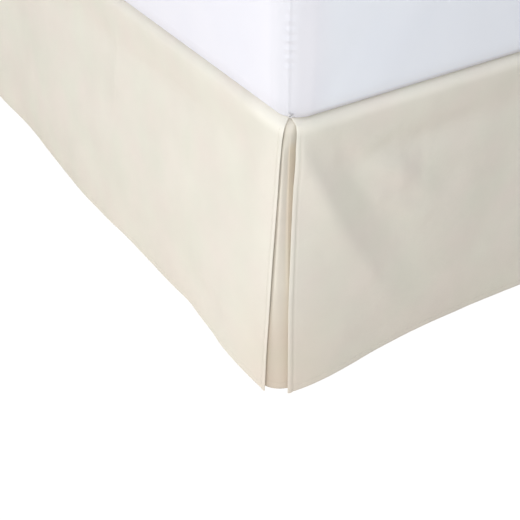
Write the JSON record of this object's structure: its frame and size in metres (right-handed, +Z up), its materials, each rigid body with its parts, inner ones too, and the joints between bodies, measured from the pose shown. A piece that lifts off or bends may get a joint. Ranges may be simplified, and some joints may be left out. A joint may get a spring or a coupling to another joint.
{
  "type": "bed skirt on a bed",
  "caption": "Tailored ivory bed skirt with split foot corners and corner underlays, hung on a plain bed of mattress, box spring and steel frame.",
  "frame": {"origin": "on the floor, under the middle of the whole object's box", "axes": "+Y from the foot of the bed to its open head end, +X to the right seen from the foot, +Z up"},
  "size_m": [1.628, 2.0759, 0.6403],
  "materials": {
    "skirt_twill": "matt ivory cotton twill, pressed, with narrow turned hems",
    "deck_cloth": "thin plain-weave lining cloth",
    "white_cover": "smooth white fitted sheet, drawn tight",
    "box_spring_ticking": "plain woven ticking",
    "frame_steel": "dark brown baked enamel",
    "glide_plastic": "moulded black plastic"
  },
  "bodies": {
    "root": {"box_spring": "box_spring_ticking", "corner_underlay_left": "skirt_twill", "corner_underlay_right": "skirt_twill", "cross_rail_foot": "frame_steel", "cross_rail_head": "frame_steel", "cross_rail_middle": "frame_steel", "deck": "deck_cloth", "drop_foot": "skirt_twill", "drop_left": "skirt_twill", "drop_right": "skirt_twill", "glide_foot_centre": "glide_plastic", "glide_foot_left": "glide_plastic", "glide_foot_right": "glide_plastic", "glide_head_centre": "glide_plastic", "glide_head_left": "glide_plastic", "glide_head_right": "glide_plastic", "glide_middle_centre": "glide_plastic", "glide_middle_left": "glide_plastic", "glide_middle_right": "glide_plastic", "leg_foot_centre": "frame_steel", "leg_foot_left": "frame_steel", "leg_foot_right": "frame_steel", "leg_head_centre": "frame_steel", "leg_head_left": "frame_steel", "leg_head_right": "frame_steel", "leg_middle_centre": "frame_steel", "leg_middle_left": "frame_steel", "leg_middle_right": "frame_steel", "mattress": "white_cover", "rail_left": "frame_steel", "rail_right": "frame_steel"}
  },
  "joints": []
}
